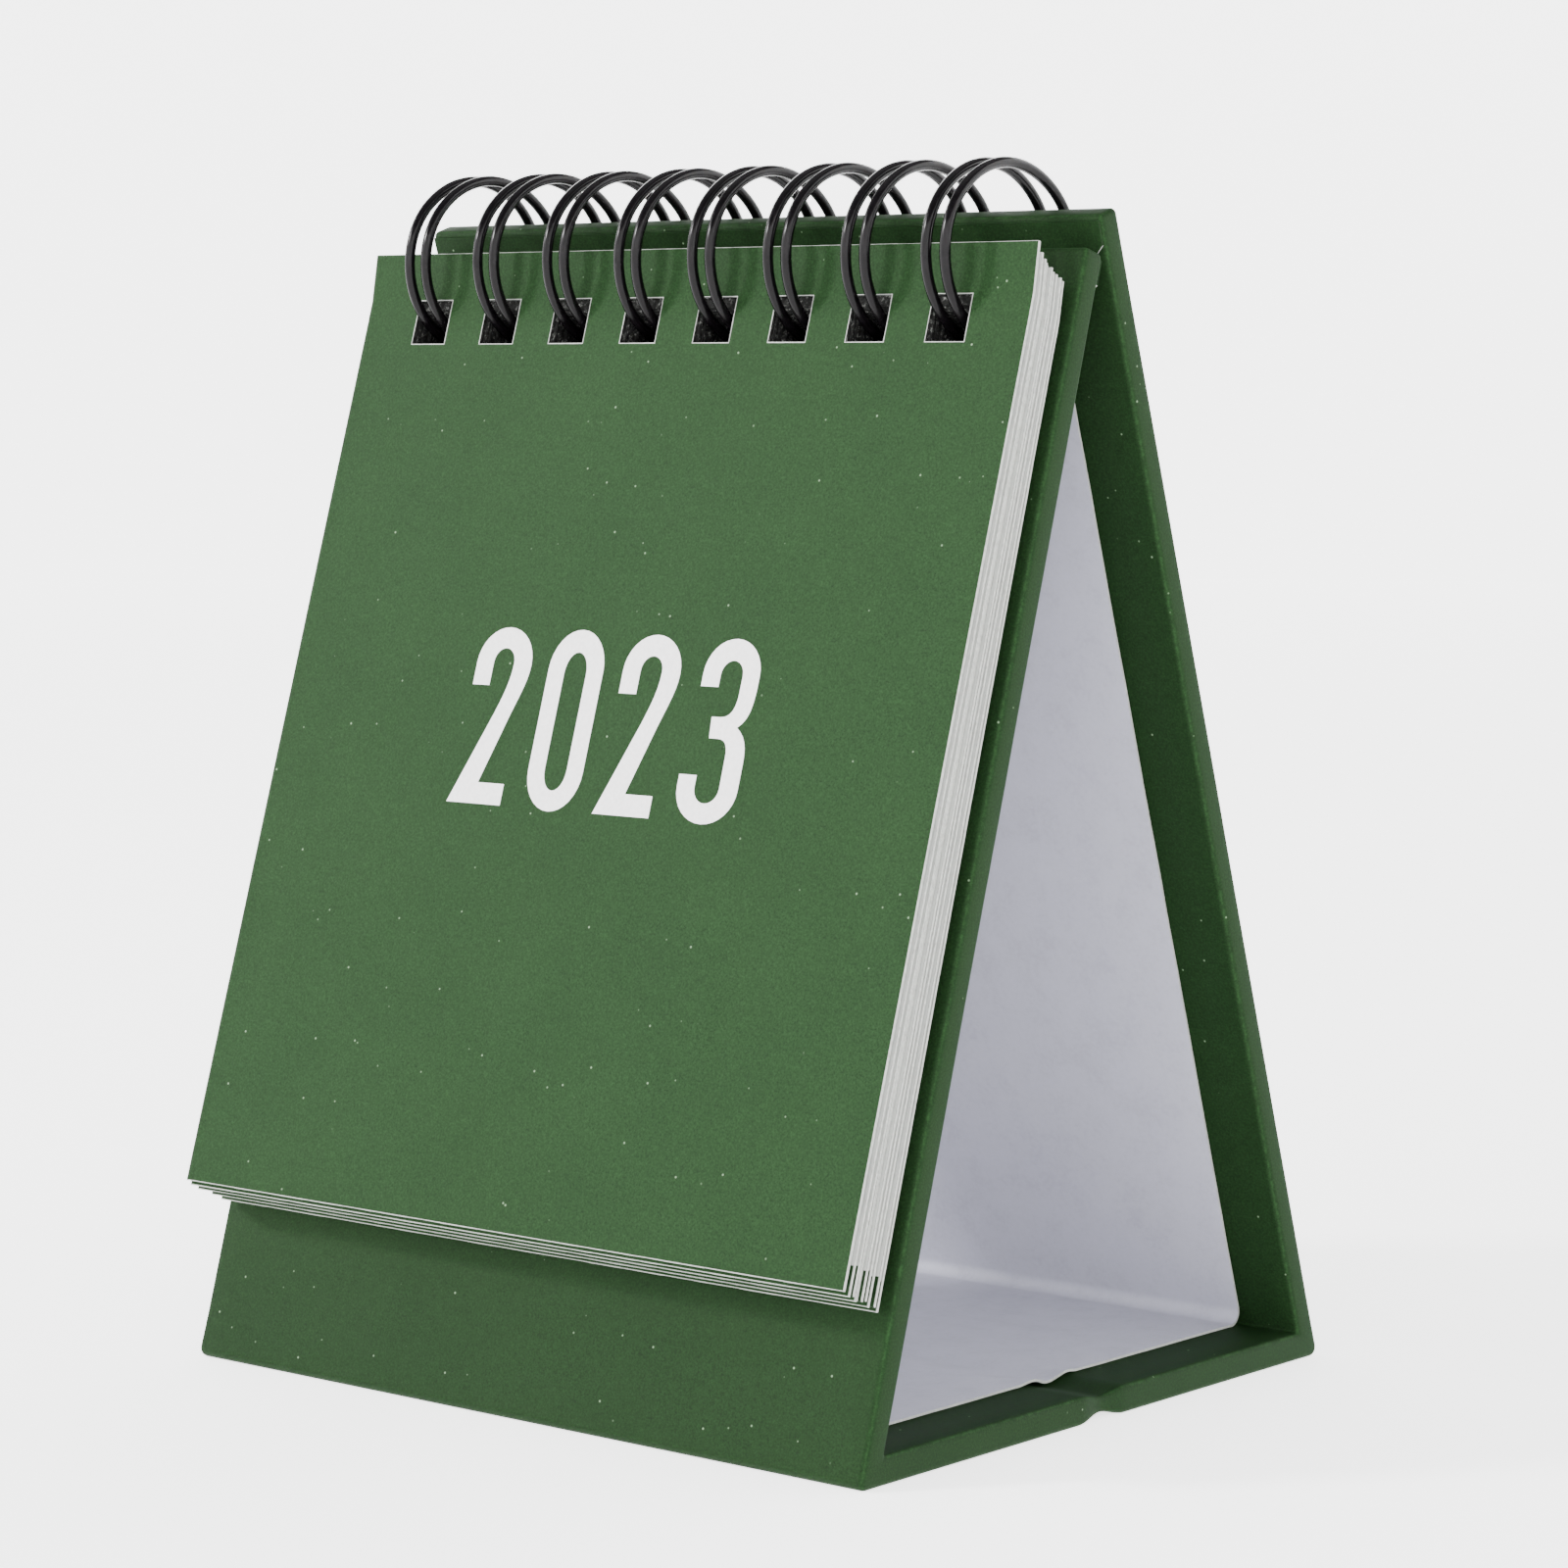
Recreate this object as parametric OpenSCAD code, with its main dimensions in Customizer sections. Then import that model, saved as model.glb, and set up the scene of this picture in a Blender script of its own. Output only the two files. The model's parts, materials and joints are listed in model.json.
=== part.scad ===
// Flip desk calendar: a folded board easel with a stack of card leaves hung on twin-wire loops.
// +X runs along the width, the leaves face -Y, and the base rests on z = 0.

/* [Stand] */
// Width of the easel
stand_w = 76.8; // [70:0.1:90]
// Depth of the base between the sharp corners of its two folds
stand_d = 65.8; // [56:0.1:72]
// Length of the front panel from its fold to its top edge
front_l = 102.9; // [98:0.1:108]
// Length of the back panel from its fold to its top edge
back_l = 106.9; // [104:0.1:110]
// Lean of the front panel from upright
front_lean = 16.6; // [16:0.1:17]
// Lean of the back panel from upright
back_lean = 17.55; // [17.2:0.05:18]
// Thickness of a panel with its cover paper
panel_t = 2.5; // [2:0.1:2.6]
// Thickness of the cover paper and of the liner
paper_t = 0.25; // [0.15:0.05:0.35]
// Width of the cover paper turned in over the side edges
side_turn_in = 12; // [10:0.5:16]
// Width of the cover paper turned in over the top edges
top_turn_in = 15; // [14:0.5:20]
// Margin of turned-in paper that the liner leaves bare at the sides
liner_margin = 6; // [6:0.5:9.5]
// Margin that the liner leaves bare at the top edges
liner_top = 12.5; // [12:0.5:13.5]
// Outer radius of the front and rear folds
fold_r = 2.2; // [1.6:0.1:2.6]
// Inner radius of the liner in the front and rear folds
liner_r = 3.5; // [3:0.1:5]
// Distance from a fold's sharp corner to the edge of the board
fold_run = 5; // [4.6:0.1:5.4]
// Gap between the two base boards at the middle fold
middle_gap = 5; // [4.6:0.1:6]

/* [Leaves] */
// Number of leaves: one cover, one overview and twelve months
leaf_count = 14; // [14:1:14]
// Width of a leaf
leaf_w = 75.8; // [68:0.1:76.2]
// Height of a leaf
leaf_h = 86.2; // [80:0.1:90]
// Thickness of a leaf
leaf_t = 0.3; // [0.2:0.01:0.3]
// Air between leaves
leaf_air = 0.04; // [0.02:0.01:0.04]
// Card left above the punched holes
leaf_top = 4.1; // [3.6:0.1:4.6]
// How far the leaves' edges wander sideways in the stack
leaf_wander = 0.2; // [0:0.05:0.3]

/* [Binding] */
// Number of twin loops
loop_count = 8; // [8:1:8]
// Distance between neighbouring loops
loop_pitch = 8.467; // [8.2:0.01:8.5]
// Front-to-back size of a loop on the wire's centre line
loop_d = 17.2; // [17:0.05:17.4]
// Height of a loop on the wire's centre line
loop_h = 15.3; // [15.1:0.05:15.5]
// Radius of a loop's front and rear arcs
loop_side_r = 7; // [6.8:0.1:7.2]
// Diameter of the coated wire
wire_d = 0.95; // [0.8:0.05:1]
// Distance between the two wires of a loop
twin_gap = 2; // [1.8:0.05:2.1]
// Side of the square punched holes
hole = 4.4; // [4.2:0.1:4.6]
// Angle of the loops' seam, measured along the lower arc from straight down towards the rear
seam_angle = 16; // [12:1:18]

/* [Hidden] */
months = ["january", "february", "march", "april", "may", "june",
          "july", "august", "september", "october", "november", "december"];

cut = 1;                       // how far a cutting shape runs past what it cuts
green = [0.25, 0.38, 0.24];
board_grey = [0.55, 0.52, 0.47];
liner_white = [0.8, 0.8, 0.83];

// Leaves hang parallel to the front panel, and the loops' centre lies just in front of its face.
leaf_lean = front_lean;
loop_drop = 0.72;              // from the front panel's top edge down to the loops' centre
loop_proud = 0.2;              // from the front panel's face out to the loops' centre
front_face = 5.55;             // from the loops' centre out to the cover leaf's face
hang_slack = 0.2;              // free play of a leaf's hole on the wire
cover_slack = 0.8;             // the cover leaf's own, for it turns furthest
hook = 0.15;                   // the wire crosses a leaf at a slant and takes this much more of its hole

// An upper arc joins each side arc smoothly, and the junction's angle follows from the two radii.
loop_a = loop_d / 2;
loop_b = loop_h / 2;
loop_top_r = (pow(loop_a - loop_side_r, 2) + pow(loop_b, 2) - pow(loop_side_r, 2))
             / (2 * (loop_b - loop_side_r));
join = atan2(loop_top_r - loop_b, loop_a - loop_side_r);

// The closed tips and the spine's bends face each other across the seam on the lower arc.
bend_r = twin_gap / 2;
bead_d = wire_d + 0.09;
bead_trim = 0.1;
seam_reach = (2 * bend_r + wire_d + 0.2) / 2 / loop_top_r * 180 / PI;
tip = 270 + seam_angle - seam_reach;
root = 270 + seam_angle + seam_reach;

// Offset of leaf k's front face from the loops' centre, and where its hole hangs below it.
function face_of(k) = front_face - k * (leaf_t + leaf_air);
function wire_below(p) =
    let (s = sin(leaf_lean), c = cos(leaf_lean),
         qa = pow(s / loop_a, 2) + pow(c / loop_b, 2),
         qb = 2 * p * s * c * (1 / pow(loop_a, 2) - 1 / pow(loop_b, 2)),
         qc = pow(p * c / loop_a, 2) + pow(p * s / loop_b, 2) - 1)
    (-qb + sqrt(qb * qb - 4 * qa * qc)) / (2 * qa);
function hole_top(k) = wire_below(face_of(k)) - wire_d / 2 - hook - (k == 0 ? cover_slack : hang_slack);
function wander(k) = leaf_wander * sin(137 * k);

// The origin lies under the middle of the whole object, whose foremost edge is the cover leaf's foot.
centre_from_front = [(front_l - loop_drop) * sin(front_lean) - loop_proud * cos(front_lean),
                     (front_l - loop_drop) * cos(front_lean) + loop_proud * sin(front_lean)];
leaf_foot = leaf_h - leaf_top + hole_top(0);
foremost = centre_from_front[0] - front_face * cos(leaf_lean) - leaf_foot * sin(leaf_lean);
rearmost = stand_d - fold_r / tan((90 - back_lean) / 2) + fold_r;
front_y = -(foremost + rearmost) / 2;
rear_y = front_y + stand_d;
centre = [front_y + centre_from_front[0], centre_from_front[1]];
base_l = stand_d / 2 - middle_gap / 2;

// Height of the hole's middle, up each panel from its fold
front_hole = front_l - loop_drop - 7.9;
back_hole = back_l - 9;

// Places a panel made lying in X and Z, with its outer face at y = 0 and its inside towards +y.
module on_front() translate([0, front_y, 0]) rotate([-front_lean, 0, 0]) children();
module on_back() translate([0, rear_y, 0]) rotate([back_lean, 0, 0]) mirror([0, 1, 0]) children();
module on_base_front() translate([0, front_y, 0]) rotate([-90, 0, 0]) mirror([0, 1, 0]) children();
module on_base_rear() translate([0, rear_y, 0]) rotate([90, 0, 0]) children();

// A block in the panel's own frame, centred on x = 0
module slab(w, y0, y1, z0, z1) translate([-w / 2, y0, z0]) cube([w, y1 - y0, z1 - z0]);

module hole_row(z, y0, y1)
    for (i = [0 : loop_count - 1])
        translate([(i - (loop_count - 1) / 2) * loop_pitch, 0, z])
            slab(hole, y0, y1, -hole / 2, hole / 2);

// Greyboard core. top is the cover paper over the upper edge, and 0 on a base board.
module board(l, top)
    color(board_grey) slab(stand_w - 2 * paper_t, paper_t, panel_t - paper_t, fold_run, l - top);

// Cover paper on one board: the outer face, the side edges, the turned-in margins and any top edge.
module wrap(l, top, top_in)
    color(green) difference() {
        slab(stand_w, 0, panel_t, fold_run, l);
        slab(stand_w - 2 * paper_t, paper_t, panel_t - paper_t, fold_run - cut, top > 0 ? l - top : l + cut);
        slab(stand_w - 2 * side_turn_in, panel_t - 2 * paper_t, panel_t + cut, fold_run - cut,
             top > 0 ? l - top_in : l + cut);
    }

// Liner on one board: it fills the window between the turned-in margins and laps over them.
module liner(l, top_in, top_bare, lean)
    color(liner_white) {
        slab(stand_w - 2 * side_turn_in, panel_t - paper_t, panel_t, fold_run, l - top_in);
        slab(stand_w - 2 * liner_margin, panel_t, panel_t + paper_t, liner_start(lean), l - top_bare);
    }
function liner_start(lean) = (panel_t + liner_r) / tan((90 - lean) / 2);

// One stretch of paper bent round a fold, in the frame of the panel that rises from the fold.
// depth is how far its outer face lies inside the panel's face, r is the outer radius of the bend,
// and run is how far up each board the flat stretches go.
module fold_strip(w, depth, r, run, lean) {
    inner = 90 - lean;
    start = (depth + r) / tan(inner / 2);
    if (run > start) {
        slab(w, depth, depth + paper_t, start, run);
        rotate([-inner, 0, 0]) mirror([0, 1, 0]) slab(w, depth, depth + paper_t, start, run);
    }
    translate([-w / 2, depth + r, start]) rotate([90, 0, 90]) rotate([0, 0, 180])
        rotate_extrude(angle = 180 - inner, $fn = 96)
            translate([r - paper_t, 0]) square([paper_t, w]);
}
module fold_cover(lean) color(green) fold_strip(stand_w, 0, fold_r, fold_run, lean);
module fold_liner(lean) color(liner_white)
    fold_strip(stand_w - 2 * liner_margin, panel_t, liner_r, 0, lean);

// Paper lying across the middle fold, between the two base boards
module middle_strip(w, z)
    translate([-w / 2, front_y + base_l, z]) cube([w, middle_gap, paper_t]);

module front_board() on_front() difference() {
    board(front_l, paper_t);
    hole_row(front_hole, -cut, panel_t + cut);
}
module front_cover() on_front() difference() {
    wrap(front_l, paper_t, top_turn_in);
    color(green) hole_row(front_hole, -cut, panel_t + cut);
}
module front_liner() on_front() liner(front_l, top_turn_in, liner_top, front_lean);
module back_board() on_back() difference() {
    board(back_l, paper_t);
    hole_row(back_hole, -cut, panel_t + cut);
}
module back_cover() on_back() difference() {
    wrap(back_l, paper_t, top_turn_in);
    color(green) hole_row(back_hole, -cut, panel_t + cut);
}
module back_liner() on_back() liner(back_l, top_turn_in, liner_top, back_lean);

module base_front_board() on_base_front() board(base_l, 0);
module base_front_cover() on_base_front() wrap(base_l, 0, 0);
module base_front_liner() on_base_front() liner(base_l, 0, 0, front_lean);
module base_rear_board() on_base_rear() board(base_l, 0);
module base_rear_cover() on_base_rear() wrap(base_l, 0, 0);
module base_rear_liner() on_base_rear() liner(base_l, 0, 0, back_lean);

module front_fold_cover() on_front() fold_cover(front_lean);
module front_fold_liner() on_front() fold_liner(front_lean);
module rear_fold_cover() on_back() fold_cover(back_lean);
module rear_fold_liner() on_back() fold_liner(back_lean);
module middle_fold_cover() color(green) middle_strip(stand_w, 0);
module middle_fold_liner() color(liner_white) middle_strip(stand_w - 2 * liner_margin, panel_t);

// A bead a little fuller than the wire, which joins two stretches that end just short of its middle
module bead() sphere(d = bead_d, $fn = 32);

// A bend in the wire in the XY plane, between beads, with its centre at the origin
module bend(r, from, to) {
    trim = bead_trim / r * 180 / PI;
    rotate([0, 0, from + trim])
        rotate_extrude(angle = to - from - 2 * trim, $fn = 96)
            translate([r, 0]) circle(d = wire_d, $fn = 24);
}

// An arc of the loop, in the loop's plane, with its centre at y, z and a bead at its start
module wire_arc(y, z, r, from, to)
    translate([0, y, z]) rotate([90, 0, 90]) {
        bend(r, from, to);
        rotate([0, 0, from]) translate([r, 0, 0]) bead();
    }

// A point on the lower arc, with the frame turned so that +y points along the wire
module on_lower_arc(angle, turn)
    translate([0, loop_top_r * cos(angle), loop_top_r - loop_b + loop_top_r * sin(angle)])
        rotate([angle + turn, 0, 0]) children();

// One loop: two wires that leave the spine at the seam, run round and meet in a closed tip.
module loop() {
    for (side = [-1, 1]) {
        translate([side * twin_gap / 2, 0, 0]) {
            wire_arc(0, loop_top_r - loop_b, loop_top_r, root, 360 - join);
            wire_arc(loop_a - loop_side_r, 0, loop_side_r, -join, join);
            wire_arc(0, loop_b - loop_top_r, loop_top_r, join, 180 - join);
            wire_arc(loop_side_r - loop_a, 0, loop_side_r, 180 - join, 180 + join);
            wire_arc(0, loop_top_r - loop_b, loop_top_r, 180 + join, tip);
        }
        on_lower_arc(root, -90) mirror([side < 0 ? 1 : 0, 0, 0])
            translate([twin_gap / 2 + bend_r, 0, 0]) {
                bend(bend_r, 90, 180);
                translate([0, bend_r, 0]) bead();
            }
    }
    on_lower_arc(tip, 90) {
        bend(bend_r, 0, 180);
        for (side = [-1, 1]) translate([side * bend_r, 0, 0]) bead();
    }
}
module spine_link()
    on_lower_arc(root, -90) translate([twin_gap / 2 + bend_r + bead_trim, bend_r, 0]) rotate([0, 90, 0])
        cylinder(d = wire_d, h = loop_pitch - twin_gap - 2 * bend_r - 2 * bead_trim, $fn = 24);
module binding_wire()
    color("black") translate([-(loop_count - 1) / 2 * loop_pitch, centre[0], centre[1]]) {
        for (i = [0 : loop_count - 1]) translate([i * loop_pitch, 0, 0]) loop();
        for (i = [0 : loop_count - 2]) translate([i * loop_pitch, 0, 0]) spine_link();
    }

// Leaf k, counted from the front, with its row of holes hung on the wire
module leaf(k, shade)
    color(shade) translate([0, centre[0], centre[1]]) rotate([-leaf_lean, 0, 0])
        translate([wander(k), 0, 0]) difference() {
            top = leaf_top - hole_top(k);
            slab(leaf_w, -face_of(k), leaf_t - face_of(k), top - leaf_h, top);
            hole_row(-hole_top(k) - hole / 2, -face_of(k) - cut, leaf_t - face_of(k) + cut);
        }
module cover_leaf() leaf(0, green);
module overview_leaf() leaf(1, "white");
module month_leaf(m) leaf(2 + m, "white");

front_board();
front_cover();
front_liner();
base_front_board();
base_front_cover();
base_front_liner();
base_rear_board();
base_rear_cover();
base_rear_liner();
back_board();
back_cover();
back_liner();
front_fold_cover();
front_fold_liner();
middle_fold_cover();
middle_fold_liner();
rear_fold_cover();
rear_fold_liner();
binding_wire();
cover_leaf();
overview_leaf();
for (m = [0 : len(months) - 1])
    month_leaf(m);
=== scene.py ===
"""Flip desk calendar: a paper-wrapped board easel with card leaves on black twin-loop wires.

Everything is in metres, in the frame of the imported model: X runs along the width, the leaves
face -Y and the base rests on Z = 0. A point in the section across the width is (y, z).
"""

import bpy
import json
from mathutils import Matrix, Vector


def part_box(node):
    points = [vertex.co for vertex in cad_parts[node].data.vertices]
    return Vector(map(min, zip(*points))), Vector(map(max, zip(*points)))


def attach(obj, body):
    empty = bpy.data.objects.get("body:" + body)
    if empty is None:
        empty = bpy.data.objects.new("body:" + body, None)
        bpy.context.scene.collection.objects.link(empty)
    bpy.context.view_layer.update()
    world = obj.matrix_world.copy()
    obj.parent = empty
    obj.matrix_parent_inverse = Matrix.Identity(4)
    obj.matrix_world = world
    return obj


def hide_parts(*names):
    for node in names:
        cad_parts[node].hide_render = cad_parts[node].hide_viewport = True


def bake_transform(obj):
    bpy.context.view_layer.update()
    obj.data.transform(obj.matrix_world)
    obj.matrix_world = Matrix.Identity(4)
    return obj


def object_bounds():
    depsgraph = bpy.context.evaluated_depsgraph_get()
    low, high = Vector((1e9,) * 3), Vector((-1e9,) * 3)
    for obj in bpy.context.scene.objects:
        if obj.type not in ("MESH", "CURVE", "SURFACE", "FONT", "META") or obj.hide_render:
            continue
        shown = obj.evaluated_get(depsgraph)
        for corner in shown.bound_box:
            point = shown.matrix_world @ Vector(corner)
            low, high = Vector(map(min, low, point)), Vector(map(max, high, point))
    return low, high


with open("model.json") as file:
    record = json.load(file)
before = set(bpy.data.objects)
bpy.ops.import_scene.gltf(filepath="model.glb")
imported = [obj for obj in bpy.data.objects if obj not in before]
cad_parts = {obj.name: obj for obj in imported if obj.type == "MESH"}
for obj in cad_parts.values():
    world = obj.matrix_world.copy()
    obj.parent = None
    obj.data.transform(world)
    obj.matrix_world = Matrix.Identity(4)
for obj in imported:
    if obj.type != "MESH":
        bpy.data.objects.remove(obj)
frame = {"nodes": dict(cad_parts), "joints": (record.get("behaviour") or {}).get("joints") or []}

import calendar
import json
import math
import random

import bmesh
import bpy
from mathutils import Vector, noise

CAD_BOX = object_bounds()
MM = 0.001
YEAR = 2023
MONTHS = [name.lower() for name in calendar.month_name[1:]]
PAGES = ["cover", "overview"] + MONTHS

bl_info = {
    "name": "Flip desk calendar",
    "version": (1, 0, 0),
    "blender": (4, 5, 0),
    "location": "3D View > Sidebar > Calendar",
    "description": "Builds a small flip desk calendar round its packed frame",
    "category": "Object",
}


# ---------------------------------------------------------------- places taken from the frame

def joint_place(name):
    """Where a joint's axis crosses the section, as (y, z)."""
    joint = next(j for j in frame["joints"] if j["name"] == name)
    return Vector(joint["pos_m"][1:])


class Face:
    """The outer face of a flat board or leaf in the section: foot, head, up, inward and depth."""

    def __init__(self, node, side):
        points = [Vector(v.co[1:]) for v in frame["nodes"][node].data.vertices]
        self.foot = max(points, key=lambda p: side * p.x)
        self.head = max(points, key=lambda p: p.y)
        self.up = (self.head - self.foot).normalized()
        self.inward = Vector((-side * self.up.y, side * self.up.x))
        self.depth = max((p - self.foot).dot(self.inward) for p in points)


class Half:
    """One panel of the easel, its fold and its half of the base. A station along it is a pair:
    ("panel", distance up from the fold), ("bend", share of the bend) or ("base", distance along)."""

    def __init__(self, end, side):
        panel = {"front": "front", "rear": "back"}[end]
        face = Face(panel + "_cover", side)
        low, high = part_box(f"base_{end}_cover")
        self.end, self.panel_nodes = end, panel
        self.panel, self.base = panel + "_panel", "base_" + end
        self.up, self.inward = face.up, face.inward
        self.corner = face.foot - face.up * (face.foot.y / face.up.y)
        self.along = Vector((-side, 0))
        self.length = (face.head - self.corner).dot(face.up)
        self.thickness = face.depth
        self.board_reach = max(abs(low.y - self.corner.x), abs(high.y - self.corner.x))
        self.reach = abs(self.corner.x - MIDDLE)
        self.half_angle = face.up.angle(self.along) / 2

    def point(self, station, x, depth, fold):
        """Where a station lies at a depth below the outer face; fold is that face's bend radius."""
        kind, value = station
        if kind == "panel":
            flat = self.corner + self.up * value + self.inward * depth
        elif kind == "base":
            flat = self.corner + self.along * value + Vector((0, depth))
        else:
            radius = max(fold - depth, 0.2 * MM)
            run = (depth + radius) / math.tan(self.half_angle)
            centre = self.corner + self.up * run + self.inward * (depth + radius)
            start = math.atan2(-self.inward.y, -self.inward.x)
            turn = (-math.pi / 2 - start + math.pi) % math.tau - math.pi
            angle = start + turn * value
            flat = centre + Vector((math.cos(angle), math.sin(angle))) * radius
        return Vector((x, flat.x, flat.y))

    def hole_drop(self):
        """How far the holes' middle lies below the panel's top edge."""
        return sizes().front_hole_drop if self.end == "front" else sizes().rear_hole_drop

    def bend_between(self, piece, run):
        """Bakes the piece's placement into its mesh; the points it works out at run up the panel and
        along the base are not used.
        """
        mid = self.thickness / 2
        self.point(("panel", run), 0, mid, 0)
        self.point(("base", run), 0, mid, 0)
        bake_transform(piece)


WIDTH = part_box("front_cover")[1].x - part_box("front_cover")[0].x
MIDDLE = (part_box("middle_fold_cover")[0].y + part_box("middle_fold_cover")[1].y) / 2
HALVES = [Half("front", -1), Half("rear", 1)]
LOOP_CENTRE = joint_place("wire_turn")
LOOPS = 8


# ---------------------------------------------------------------- sizes and colours

def linear(hex_colour):
    """An sRGB hex colour as linear RGBA."""
    parts = [int(hex_colour[i:i + 2], 16) / 255 for i in (1, 3, 5)]
    return [p / 12.92 if p <= 0.04045 else ((p + 0.055) / 1.055) ** 2.4 for p in parts] + [1]


def length(name, description, millimetres):
    return bpy.props.FloatProperty(name=name, description=description, default=millimetres * MM,
                                   min=0, unit="LENGTH", precision=5)


def colour(name, description, hex_colour):
    return bpy.props.FloatVectorProperty(name=name, description=description, size=4, min=0, max=1,
                                         subtype="COLOR", default=linear(hex_colour))


class CalendarSizes(bpy.types.PropertyGroup):
    paper: length("Paper", "Thickness of the cover paper and the liner", 0.25)
    edge: length("Edge radius", "Radius of the wrapped edges of the boards", 0.5)
    fold: length("Fold radius", "Outer radius of the front and rear folds", 0.8)
    liner_fold: length("Liner fold radius", "Radius of the liner in the front and rear folds", 1.3)
    fold_run: length("Fold run", "Distance from a fold's corner to the edge of the board", 5)
    side_turn: length("Side turn-in", "Cover paper turned in over the side edges", 12)
    top_turn: length("Top turn-in", "Cover paper turned in over the top edge", 15)
    liner_side: length("Liner margin", "Turned-in paper left bare beside the liner", 6)
    liner_top: length("Liner top", "Turned-in paper left bare above the liner", 12.5)
    flap_step: length("Flap step", "How far the top flap ends short of the side edge", 0.25)
    hole: length("Hole", "Side of the square punched holes", 4.05)
    front_hole_drop: length("Front hole drop", "Front panel's top edge to the middle of its holes", 8.62)
    rear_hole_drop: length("Rear hole drop", "Back panel's top edge to the middle of its holes", 9)
    leaf_hole_drop: length("Leaf hole drop", "Top of a leaf to the middle of its holes", 6.3)
    wire: length("Wire", "Diameter of the coated wire", 0.95)
    twin_gap: length("Twin gap", "Distance between the two wires of a loop", 2)
    twin_spread: length("Twin spread", "How much further apart the two wires are at the rear", 0.5)
    loop_side: length("Loop side radius", "Radius of a loop's front and rear arcs", 7)
    card: length("Card", "Thickness of a leaf", 0.23)
    margin_bend: length("Margin bend", "How far the top edge of a leaf curls forward", 0.6)
    cut_rim: length("Cut rim", "Width of the crushed white rim along a cut edge", 0.08)
    numeral_height: length("Numeral height", "Height of the year's numerals", 15.8)
    numeral_foot: length("Numeral foot", "Top of the cover leaf to the foot of the numerals", 50)


class CalendarColours(bpy.types.PropertyGroup):
    leaf_green: colour("Leaf green", "Printed green of the cover leaf", "#192E17")
    board_green: colour("Board green", "Printed green of the easel's cover paper", "#142712")
    liner: colour("Liner", "White liner paper inside the easel", "#A2A2AE")
    card: colour("Card", "White card of the leaves", "#B4B6B2")
    card_edge: colour("Card edge", "Cut edges of the leaves", "#9A9C97")
    ink: colour("Ink", "Print on the month leaves", "#3E4A40")
    numerals: colour("Numerals", "White of the year's numerals", "#D6D4D4")
    wire: colour("Wire", "Nylon coat of the wire", "#050405")
    greyboard: colour("Greyboard", "Pulp board inside the paper", "#8F897E")
    floor: colour("Floor", "Studio floor", "#F4F4F4")


def sizes():
    return bpy.context.scene.calendar_sizes


def colours():
    return bpy.context.scene.calendar_colours


# ---------------------------------------------------------------- materials

def add_node(tree, kind, settings=(), inputs=(), stops=()):
    """Adds one node. settings are its own properties, inputs are values or other outputs, and stops
    are the (position, colour) pairs of a ramp."""
    node = tree.nodes.new(kind)
    for name, value in dict(settings).items():
        setattr(node, name, value)
    for name, value in dict(inputs).items():
        if isinstance(value, bpy.types.NodeSocket):
            tree.links.new(value, node.inputs[name])
        else:
            node.inputs[name].default_value = value
    for number, (position, shade) in enumerate(stops):
        elements = node.color_ramp.elements
        element = elements[number] if number < 2 else elements.new(position)
        element.position, element.color = position, shade
    return node


def new_material(name):
    """A material holding only its shader, with the shader and the piece's own coordinates."""
    material = bpy.data.materials.new(name)
    material.use_nodes = True
    tree = material.node_tree
    shader = tree.nodes["Principled BSDF"]
    place = add_node(tree, "ShaderNodeTexCoord").outputs["Object"]
    return material, tree, shader, place


def per(millimetres):
    """The texture scale at which one feature of a pattern is this many millimetres across."""
    return 1 / (millimetres * MM)


def shades(base, *factors):
    """The base colour made darker or lighter by each factor."""
    return [[min(1, channel * f) for channel in base[:3]] + [1] for f in factors]


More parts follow.
